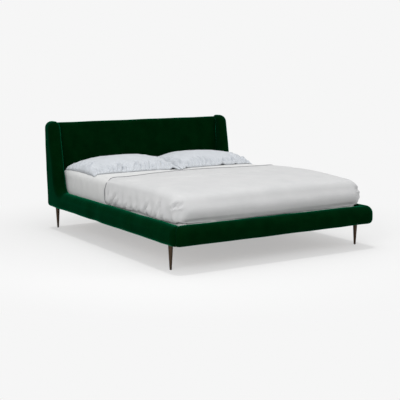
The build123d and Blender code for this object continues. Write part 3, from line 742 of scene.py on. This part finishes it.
# Creases of the tucked sides: y and z of the low end, of the high end, half width and depth
side_creases = (
    (0.095, 0.33, 0.085, 0.43, 9 * mm, 4 * mm),
    (0.055, 0.33, 0.015, 0.44, 9 * mm, 6 * mm),
    (0.005, 0.32, -0.1, 0.435, 13 * mm, 17 * mm),
    (-0.07, 0.32, -0.14, 0.4, 11 * mm, 9 * mm),
    (-0.15, 0.32, -0.19, 0.37, 9 * mm, 6 * mm),
    (-0.22, 0.32, -0.275, 0.385, 10 * mm, 9 * mm),
    (-0.3, 0.32, -0.335, 0.37, 9 * mm, 6 * mm),
    (-0.375, 0.32, -0.42, 0.38, 10 * mm, 8 * mm),
    (-0.44, 0.32, -0.475, 0.36, 8 * mm, 5 * mm),
    (-0.505, 0.32, -0.6, 0.43, 12 * mm, 13 * mm),
    (-0.56, 0.32, -0.6, 0.36, 8 * mm, 6 * mm),
    (-0.61, 0.32, -0.66, 0.385, 10 * mm, 8 * mm),
    (-0.705, 0.32, -0.775, 0.46, 13 * mm, 16 * mm),
    (-0.79, 0.32, -0.83, 0.38, 9 * mm, 6 * mm),
    (-0.935, 0.44, -0.985, 0.505, 9 * mm, 17 * mm),
    (-0.975, 0.455, -1.01, 0.51, 9 * mm, 15 * mm),
)
# The head edge: y at places across the bed, and on the upright side at heights
head_x = (-0.8, -0.74, -0.7, -0.654, -0.548, -0.411, -0.181, 0.072, 0.428, 0.664, 0.8)
head_y = (0.075, 0.072, 0.06, 0.056, 0.08, 0.129, 0.158, 0.142, 0.128, 0.105, 0.092)
edge_z = (0.328, 0.431, 0.5, 0.53)
edge_y = (0.111, 0.104, 0.08, 0.075)
# How far the upright faces stand out at heights, as a share of the plain form's thickness
bulge_z = (0.326, 0.335, 0.35, 0.36, 0.38, 0.4, 0.42, 0.44, 0.46, 0.48, 0.5, 0.53)
foot_bulge = (0.16, 0.3, 0.58, 0.76, 1.08, 1.4, 1.65, 1.75, 1.7, 1.5, 1.25, 1.0)
side_bulge = (0.7, 0.8, 0.92, 0.96, 1.05, 1.1, 1.15, 1.2, 1.2, 1.15, 1.1, 1.0)
# The upright faces swell outside these planes
lining_x = 802.8 * mm
lining_y = -996.4 * mm
# The turned-back band: y of its lower edge at places across the bed
band_x = (-0.86, -0.667, -0.507, -0.391, -0.255, 0.0, 0.4, 0.86)
band_y = (-0.13, -0.2, -0.26, -0.3, -0.32, -0.32, -0.28, -0.18)
crease_strength = 1.5
# Soft folds and lumps: their height, their size and the seed of their noise
side_folds = (3.2 * mm, 60 * mm, 8)
foot_folds = (1.5 * mm, 160 * mm, 9)
top_lumps = (3 * mm, 500 * mm, 10)
# Heights between which the side turns into the top, for each thing that changes there
head_line_turn = (0.5, 0.54)
band_turn = (0.4, 0.5)
roll_turn = (0.36, 0.52)
# Heights between which folds fade out, creases start, and the hem leaves the rail
fold_fade = (0.37, 0.5)
crease_start = (0.33, 0.365)
swell_start = (0.33, 0.38)
hem_lift = (0.332, 0.352)
# The head edge's thinning: how much, and over what length
head_thin, head_thin_length = 14 * mm, 400 * mm
band_rise = 4.5 * mm
# The roll at the foot end: how far the top drops, and from where to where along the bed
foot_rolls = ((9 * mm, 0.6, 1.0), (13 * mm, 0.88, 1.0))
# In the right corner it drops further, from where to where across and along the bed
corner_drop, corner_across, corner_along = 11 * mm, (0.6, 0.84), (0.4, 0.95)


def outer_share(points):
    """Share of the outer skin, by the distance from the rounded mattress inside."""
    beyond = np.abs(points - mattress_middle) - mattress_core
    stand_off = np.linalg.norm(np.maximum(beyond, 0), axis=1) + np.minimum(beyond.max(axis=1), 0)
    return ramp(stand_off - mattress_round, 5 * mm, 15 * mm)


def head_line_of(points):
    """The y where the head edge lies beside each point, on the top or on an upright side."""
    on_top = ramp(points[:, 2], *head_line_turn)
    line = np.interp(points[:, 0], head_x, head_y) * on_top
    return line + np.interp(points[:, 2], edge_z, edge_y) * (1 - on_top)


def fit_outline(points, head_line):
    """Pulls the head edge to its line and stands the upright faces out by their shares."""
    points[:, 1] += (head_line - quilt_head_y) * ramp(points[:, 1], head_pull_y, quilt_head_y - 0.02)
    swell = np.interp(points[:, 2], bulge_z, foot_bulge)
    points[:, 1] = np.where(
        points[:, 1] < lining_y, lining_y + (points[:, 1] - lining_y) * swell, points[:, 1]
    )
    # The right side stands out more towards the foot than the left
    to_foot = ramp(-points[:, 1], 0.2, 0.9) * ramp(points[:, 2], *swell_start)
    swell = np.interp(points[:, 2], bulge_z, side_bulge) * (1 + (points[:, 0] > 0) * to_foot)
    across = np.abs(points[:, 0])
    points[:, 0] = np.where(
        across > lining_x,
        np.sign(points[:, 0]) * (lining_x + (across - lining_x) * swell),
        points[:, 0],
    )


def crease_depth(along, height):
    """Height of slanting creases on an upright side: a groove with a soft lip beside it."""
    total = np.zeros(len(along))
    for y0, z0, y1, z1, width, depth in side_creases:
        run = np.array((y1 - y0, z1 - z0))
        length = math.hypot(*run)
        run /= length
        share = ((along - y0) * run[0] + (height - z0) * run[1]) / length
        across = (along - y0) * -run[1] + (height - z0) * run[0]
        taper = ramp(share, -0.3, 0.1) * (1 - ramp(share, 0.45, 1.15))
        groove = np.exp(-((across / width) ** 2))
        lip = 0.45 * np.exp(-(((across - 2.1 * width) / (1.5 * width)) ** 2))
        lip += 0.3 * np.exp(-(((across + 2.2 * width) / (1.7 * width)) ** 2))
        total += depth * taper * (lip - groove)
    return total


def lumps(points, height, size, seed):
    """Smooth random heights in metres."""
    return height * wave_noise(points, size, seed)


def quilt_relief(points, normal, skin):
    """How far the skin rises: creases, soft lumps and the turned-back band."""
    side_share = ramp(np.abs(normal[:, 0]), 0.35, 0.8) * skin
    foot_share = ramp(-normal[:, 1], 0.35, 0.8) * skin
    low_share = 1 - ramp(points[:, 2], *fold_fade)
    rise = crease_strength * crease_depth(points[:, 1], points[:, 2]) * side_share
    rise *= 0.25 + 0.75 * ramp(points[:, 2], *crease_start)
    # Folds are drawn long upwards, lumps long across the bed
    folded = points * np.array((1, 1, 0.22))
    rise += lumps(folded, *side_folds) * low_share * side_share
    rise += lumps(folded, *foot_folds) * low_share * foot_share
    rise += lumps(points * np.array((0.5, 1, 1)), *top_lumps) * skin
    # The band at the head edge is one cloth thicker, with a soft edge of its own
    band_line = np.interp(points[:, 0], band_x, band_y)
    on_band = ramp(points[:, 1], band_line - 5 * mm, band_line + 7 * mm) * skin
    return rise + band_rise * on_band * ramp(points[:, 2], *band_turn)


def head_thinning(points, normal, skin, head_line):
    """How far the top sinks towards the sheet at the head edge."""
    thin = ramp(points[:, 1], head_line - head_thin_length, head_line) * skin
    return head_thin * thin * ramp(normal[:, 2], 0.2, 0.7)


def roll_foot_end(points, skin):
    """Lets the top roll over softly at the foot end, most of all in the right corner."""
    along = -points[:, 1]
    rolled = corner_drop * ramp(points[:, 0], *corner_across) * ramp(along, *corner_along)
    for drop, start, end in foot_rolls:
        rolled += drop * ramp(along, start, end)
    points[:, 2] -= rolled * ramp(points[:, 2], *roll_turn) * skin


def tuck_down(points):
    """Lets the lower edge follow the roll of the rail, and lie on it."""
    reach = np.maximum(np.abs(points[:, 0]) - rail_inner_x, foot_inner_y - points[:, 1])
    over = np.clip(inner_roll - reach, 0, inner_roll)
    roll_drop = inner_roll - np.sqrt(inner_roll**2 - over**2)
    resting = rail_top - roll_drop + 0.8 * mm
    tucked = 1 - ramp(points[:, 2], *hem_lift)
    lower = np.maximum(points[:, 2] - np.minimum(roll_drop, 7 * mm) * tucked, resting)
    points[:, 2] = np.where(reach > 0, lower, points[:, 2])


quilt = soft_copy("cotton_quilt", ["duvet"], 9 * mm)
relax(quilt, 0.5, 10)
points = points_of(quilt)
normal = normals_of(quilt)
skin = outer_share(points)
head_line = head_line_of(points)
fit_outline(points, head_line)
rise = quilt_relief(points, normal, skin)
down = head_thinning(points, normal, skin, head_line)
points += normal * rise[:, None]
points[:, 2] -= down
roll_foot_end(points, skin)
tuck_down(points)
set_points(quilt, points)

skin_tree = BVHTree.FromPolygons(
    [tuple(p) for p in points], [tuple(f.vertices) for f in quilt.data.polygons]
)
# The hem runs up each side between these heights, and over the top within this half width
hem_low_z, hem_high_z, hem_step = 0.335, 0.5, 0.012
hem_half_x = 0.8
# Rays start this far out on both sides and this high above
ray_x, ray_z = 0.9, 0.7


def hem_path(inset, stand):
    """Points on the quilt's skin beside its head edge, from one rail over the top to the other."""
    rays = []
    for z in np.arange(hem_low_z, hem_high_z, hem_step):
        rays.append((-ray_x, float(np.interp(z, edge_z, edge_y)), float(z), (1, 0, 0)))
    for share in np.linspace(-1, 1, 120):
        x = hem_half_x * float(share)
        rays.append((x, float(np.interp(x, head_x, head_y)), ray_z, (0, 0, -1)))
    for z in np.arange(hem_high_z, hem_low_z, -hem_step):
        rays.append((ray_x, float(np.interp(z, edge_z, edge_y)), float(z), (-1, 0, 0)))
    path = []
    for x, y, z, aim in rays:
        hit = skin_tree.ray_cast((x, y - inset, z), aim)[0]
        if hit is not None:
            path.append(tuple(hit[i] - stand * aim[i] for i in range(3)))
    return path


# A piped edge along the head line, and a row of stitches behind it
piping_radius = 3.8 * mm
stitch_pitch = 8 * mm
stitch_size = (0.9 * mm, 0.9 * mm, 5 * mm)
piping = tube("quilt_piping", hem_path(9 * mm, 2 * mm), piping_radius)
# The piping's darker grey is painted shade along the head edge
dress(piping, piping_cotton_painted_shade, "duvet")
stitches = row_along(
    "quilt_hem_stitches", hem_path(24 * mm, 0.2 * mm), stitch_pitch, stitch_size, quilt_cotton
)
dress(stitches, quilt_cotton, "duvet")


# ---------------------------------------------------------------- pillows
# The sheet's height below the pillows, then their size, their lift off it and their crown
pillow_floor = 518.6 * mm
pillow_width = 785 * mm
pillow_depth = 536 * mm
pillow_lift = 4 * mm
pillow_high = 108 * mm
pillow_middle_x = {"left": -394.5 * mm, "right": 399 * mm}
pillow_middle_y = 680 * mm
pillow_cell = 6 * mm
# The sheet is flat to this side, and rounds down beyond it
sheet_flat_x = 744 * mm
sheet_round = 60 * mm
# How far the pillows keep from the plane of the headboard's back, and from the bed's middle
board_gap = 67 * mm
middle_gap = 1.5 * mm
# How a case's cloth swells, and how far in from the seams it is cut larger
case_cloth = {
    "pressure": 2,
    "steps": 24,
    "cap": 16 * mm,
    "stiffness": 15,
    "bending": 0.05,
    "spare": 0.25,
}
spare_width = 62 * mm
# Where a pillow's front edge stands off the sheet: place across the bed, height and half width
raised_edges = (
    (-0.049, 16 * mm, 20 * mm),
    (0.09, 10 * mm, 12 * mm),
    (0.481, 16 * mm, 22 * mm),
    (0.617, 9 * mm, 11 * mm),
)
# The filled inner pillow is this much smaller than its case
inner_share = (0.87, 0.83, 0.8)
# How far the corners reach out beyond the sides: at the middle of the bed, outwards, at the back
inner_ear, outer_ear, back_ear = 0.36, 0.14, 0.03
# How far the ends draw in between their corners
end_draw = 0.03


def sheet_top(x):
    """Height of the sheet under a pillow: level, and rounded down at the sides."""
    over = np.clip(np.abs(x) - sheet_flat_x, 0, sheet_round * 0.98)
    return pillow_floor - (sheet_round - np.sqrt(sheet_round**2 - over**2))


def pillow_dome(name, middle_x, sign):
    """A laid pillow: two squares of cloth sewn round their edge, flat below and crowned above."""
    count_x = round(pillow_width / pillow_cell)
    count_y = round(pillow_depth / pillow_cell)
    index = {}
    verts = []
    shares = []
    for layer in (1, -1):
        for j in range(count_y + 1):
            for i in range(count_x + 1):
                if i in (0, count_x) or j in (0, count_y):
                    if layer == -1:
                        index[layer, i, j] = index[1, i, j]
                        continue
                u, v = 2 * i / count_x - 1, 2 * j / count_y - 1
                index[layer, i, j] = len(verts)
                # The sides pull in between the corners, most of all along the front
                if v < 0:
                    ear = (inner_ear if u * sign < 0 else outer_ear) * abs(u) ** 5
                else:
                    ear = back_ear * abs(u) ** 4
                x = u * (1 - end_draw * (1 - v * v))
                y = v * (1 + ear * abs(v) ** 2)
                # The crown is broad and falls steeply to the seams
                across = (1 - abs(u) ** 4.2) ** 0.42
                deep = (1 - abs(v - 0.06 * (1 - v * v)) ** 2.4) ** 0.58
                if layer == 1:
                    slump = 1 - 0.5 * abs(u) ** 5 * ramp(v, -0.4, 0.9)
                    z = (pillow_high - pillow_lift) * across * deep * slump * (1 - 0.07 * sign * u)
                else:
                    z = -pillow_lift * min(1, 1.5 * across * deep)
                verts.append(
                    (
                        middle_x + x * pillow_width / 2,
                        pillow_middle_y + y * pillow_depth / 2,
                        pillow_floor + pillow_lift + z,
                    )
                )
                shares.append((u, v, layer))
    faces = []
    for layer in (1, -1):
        for j in range(count_y):
            for i in range(count_x):
                ring = [
                    index[layer, i, j],
                    index[layer, i + 1, j],
                    index[layer, i + 1, j + 1],
                    index[layer, i, j + 1],
                ]
                faces.append(ring[::layer])
    return new_piece(name, verts, faces), np.array(shares)


def puckers(along, inward, seed, pitch):
    """Short gathers that run in from a sewn edge: a narrow groove between two soft lips."""
    random = np.random.default_rng(seed)
    total = np.zeros(len(along))
    place = along.min() + 0.02
    while place < along.max() - 0.02:
        width = random.uniform(7, 11) * mm
        depth = random.uniform(5, 11) * mm
        length = random.uniform(70, 150) * mm
        lean = random.uniform(-0.7, 0.7)
        off = np.abs(along - place - lean * inward) / width
        shape = 0.4 * np.exp(-(((off - 2) / 0.9) ** 2)) - np.exp(-(off**2))
        faded = ramp(inward, 0, 18 * mm) * (1 - ramp(inward, 0.35 * length, length))
        total += depth * shape * faded
        place += random.uniform(0.7, 1.35) * pitch
    return total


for side, sign, seed in (("left", -1, 3), ("right", 1, 4)):
    case, shares = pillow_dome(f"cotton_pillow_case_{side}", pillow_middle_x[side], sign)
    points = points_of(case)
    above = (shares[:, 2] > 0).astype(float)
    points[:, 2] += 1.2 * mm * wave_noise(points, 70 * mm, seed) * above
    set_points(case, points)
    from_end = (1 - np.abs(shares[:, 0])) * pillow_width / 2
    from_front = (1 + shares[:, 1]) * pillow_depth / 2
    rim = np.minimum(from_end, np.minimum(from_front, pillow_depth - from_front))
    loose = np.exp(-((rim / spare_width) ** 2)) * above
    held = ((above == 0) & (rim > 40 * mm)) | (rim < 1 * mm)
    stuff(case, **case_cloth, loose=loose, held=held)
    points = points_of(case)
    gathers = puckers(points[:, 0], from_front, 30 + seed, 30 * mm) * ramp(from_end, 0, 60 * mm)
    along_ends = puckers(points[:, 1], from_end, 50 + seed, 36 * mm)
    gathers += along_ends * ramp(from_front, 20 * mm, 90 * mm)
    gathers = normals_of(case) * (1.7 * gathers * above)[:, None]
    # The lower parts follow the sheet, which rounds down at its sides
    points[:, 2] += (sheet_top(points[:, 0]) - pillow_floor) * (1 - ramp(points[:, 2], 0.53, 0.62))
    for place, high, half in raised_edges:
        if place * sign > 0:
            bow = np.exp(-(((points[:, 0] - place) / half) ** 2))
            points[:, 2] += high * bow * (1 - ramp(from_front, 10 * mm, 80 * mm))
    plain = points.copy()
    points += gathers
    points[:, 2] = np.maximum(points[:, 2], sheet_top(points[:, 0]) + 0.3 * mm)
    points[:, 1] = np.minimum(points[:, 1], back_y(points[:, 2]) - board_gap)
    points[:, 0] = sign * np.maximum(sign * points[:, 0], middle_gap)
    set_points(case, points)
    dress(case, pillow_cotton, f"pillow_{side}")
    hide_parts(f"pillow_case_{side}")
    inner = bpy.data.objects.new(f"filled_pillow_{side}", case.data.copy())
    scene.collection.objects.link(inner)
    centre = np.array((pillow_middle_x[side], pillow_middle_y, pillow_floor + 50 * mm))
    set_points(inner, centre + (plain - centre) * inner_share)
    dress(inner, pillow_ticking, f"pillow_{side}")
    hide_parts(f"pillow_{side}")

dress(quilt, quilt_cotton, "duvet")
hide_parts("duvet")


# ---------------------------------------------------------------- floor, background and light
backdrop_tone = "#f6f6f6"
floor_tone = "#eeeeee"
# Rays that light the bed from below see a darker floor than the camera does
bounce_tone = "#b8b8b8"
# The floor blends into the backdrop between these distances from the bed's middle
backdrop_near, backdrop_far = 1.3, 2.6
backdrop_least = 0.45
sky_strength = 0.57

floor = new_piece(
    "studio_floor", [(-30, -30, 0), (30, -30, 0), (30, 30, 0), (-30, 30, 0)], [(0, 1, 2, 3)]
)
material = bpy.data.materials.new("pale_studio_floor")
material.use_nodes = True
tree = material.node_tree
tree.nodes.clear()
place = add_node(tree, "ShaderNodeTexCoord").outputs["Object"]
away = add_node(tree, "ShaderNodeVectorMath", {"operation": "LENGTH"}, None, {0: place})
far = add_node(
    tree,
    "ShaderNodeMapRange",
    {"interpolation_type": "SMOOTHSTEP"},
    {"From Min": backdrop_near, "From Max": backdrop_far, "To Min": backdrop_least},
    {"Value": away.outputs["Value"]},
)
lit = add_node(tree, "ShaderNodeBsdfDiffuse", None, {"Color": linear(floor_tone)})
dim = add_node(tree, "ShaderNodeBsdfDiffuse", None, {"Color": linear(bounce_tone)})
plain = add_node(
    tree, "ShaderNodeEmission", None, {"Color": linear(backdrop_tone), "Strength": 1}
)
seen = add_node(tree, "ShaderNodeLightPath").outputs["Is Camera Ray"]
blend = maths(tree, "MULTIPLY", seen, far.outputs["Result"])
bare = add_node(
    tree, "ShaderNodeMixShader", None, None, {0: seen, 1: dim.outputs[0], 2: lit.outputs[0]}
)
surface = add_node(
    tree, "ShaderNodeMixShader", None, None, {0: blend, 1: bare.outputs[0], 2: plain.outputs[0]}
)
add_node(tree, "ShaderNodeOutputMaterial", None, None, {"Surface": surface.outputs[0]})
floor.data.materials.append(material)

world = bpy.data.worlds.new("soft_studio")
scene.world = world
world.use_nodes = True
tree = world.node_tree
tree.nodes.clear()
rays = add_node(tree, "ShaderNodeLightPath").outputs
seen = maths(tree, "MAXIMUM", rays["Is Camera Ray"], rays["Is Glossy Ray"])
light = add_node(
    tree, "ShaderNodeBackground", None, {"Color": (1, 1, 1, 1), "Strength": sky_strength}
)
view = add_node(
    tree, "ShaderNodeBackground", None, {"Color": linear(backdrop_tone), "Strength": 1}
)
both = add_node(
    tree, "ShaderNodeMixShader", None, None, {0: seen, 1: light.outputs[0], 2: view.outputs[0]}
)
add_node(tree, "ShaderNodeOutputWorld", None, None, {"Surface": both.outputs[0]})


def lamp(name, place, aim, width, height, watts):
    """A soft panel light aimed at a point."""
    panel = bpy.data.lights.new(name, "AREA")
    panel.shape = "RECTANGLE"
    panel.size = width
    panel.size_y = height
    panel.energy = watts
    item = bpy.data.objects.new(name, panel)
    item.location = place
    gaze = np.array(aim, dtype=float) - np.array(place, dtype=float)
    item.rotation_euler = (
        math.acos(-gaze[2] / np.linalg.norm(gaze)),
        0,
        math.atan2(-gaze[0], gaze[1]),
    )
    scene.collection.objects.link(item)


# Each panel: its place, where it aims, its width and height and its watts
lamp("overhead_panel", (0.0, 0.3, 4.2), (0, 0, 0.4), 2.0, 2.0, 16)
lamp("left_panel", (-4.0, -3.2, 2.4), (0, 0, 0.4), 2.6, 2.2, 98)
lamp("right_panel", (4.4, -3.6, 2.4), (0, -0.6, 0.3), 1.8, 1.8, 55)

# A high key light gives the bed its plain shadow on the floor
key = bpy.data.lights.new("high_key", "SUN")
key.energy = 0.78
key.angle = math.radians(5)
high_key = bpy.data.objects.new("high_key", key)
high_key.rotation_euler = (math.radians(-6), 0, 0)
scene.collection.objects.link(high_key)
